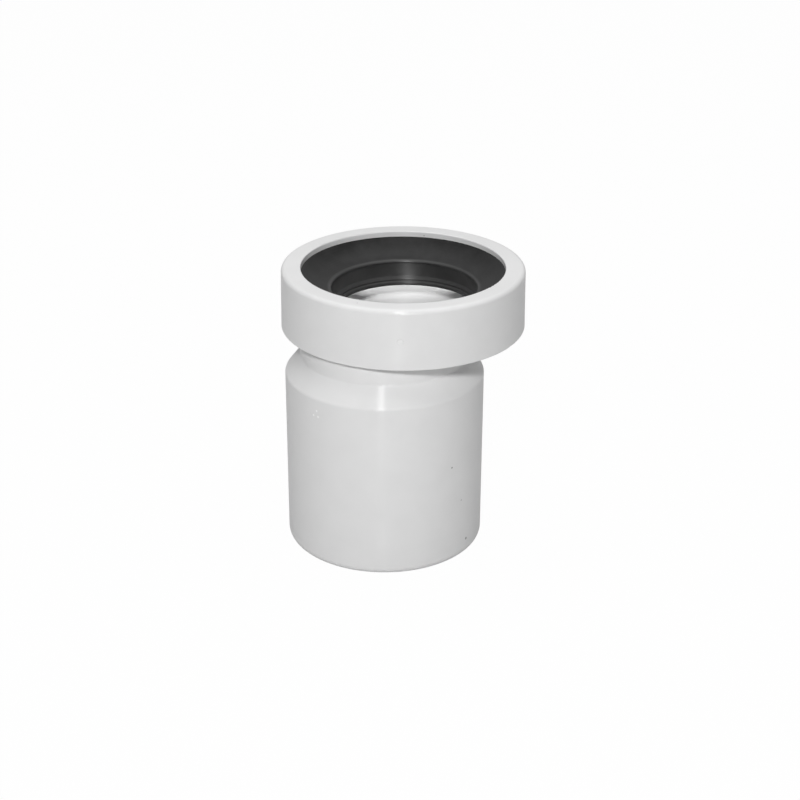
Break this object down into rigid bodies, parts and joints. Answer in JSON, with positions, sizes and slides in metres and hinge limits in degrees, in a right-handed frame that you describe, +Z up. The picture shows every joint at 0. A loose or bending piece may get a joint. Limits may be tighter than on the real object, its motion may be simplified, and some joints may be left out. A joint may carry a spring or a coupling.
{
  "type": "toilet pan connector",
  "caption": "Rigid offset toilet pan connector: plain soil pipe spigot, conical shoulder, socket cup set to one side, black rubber lip seal and a pressed-on retaining collar.",
  "frame": {"origin": "centre of the spigot's end, on the plane that the part stands on", "axes": "+Z up the spigot towards the socket, +X towards the side that the socket is offset to"},
  "size_m": [0.1406, 0.1352, 0.1552],
  "materials": {
    "body": "white moulded polypropylene, semi-gloss",
    "seal": "black moulded rubber, satin",
    "retaining_collar": "white moulded polypropylene, semi-gloss"
  },
  "bodies": {
    "root": {"body": "body", "seal": "seal", "retaining_collar": "retaining_collar"}
  },
  "joints": []
}
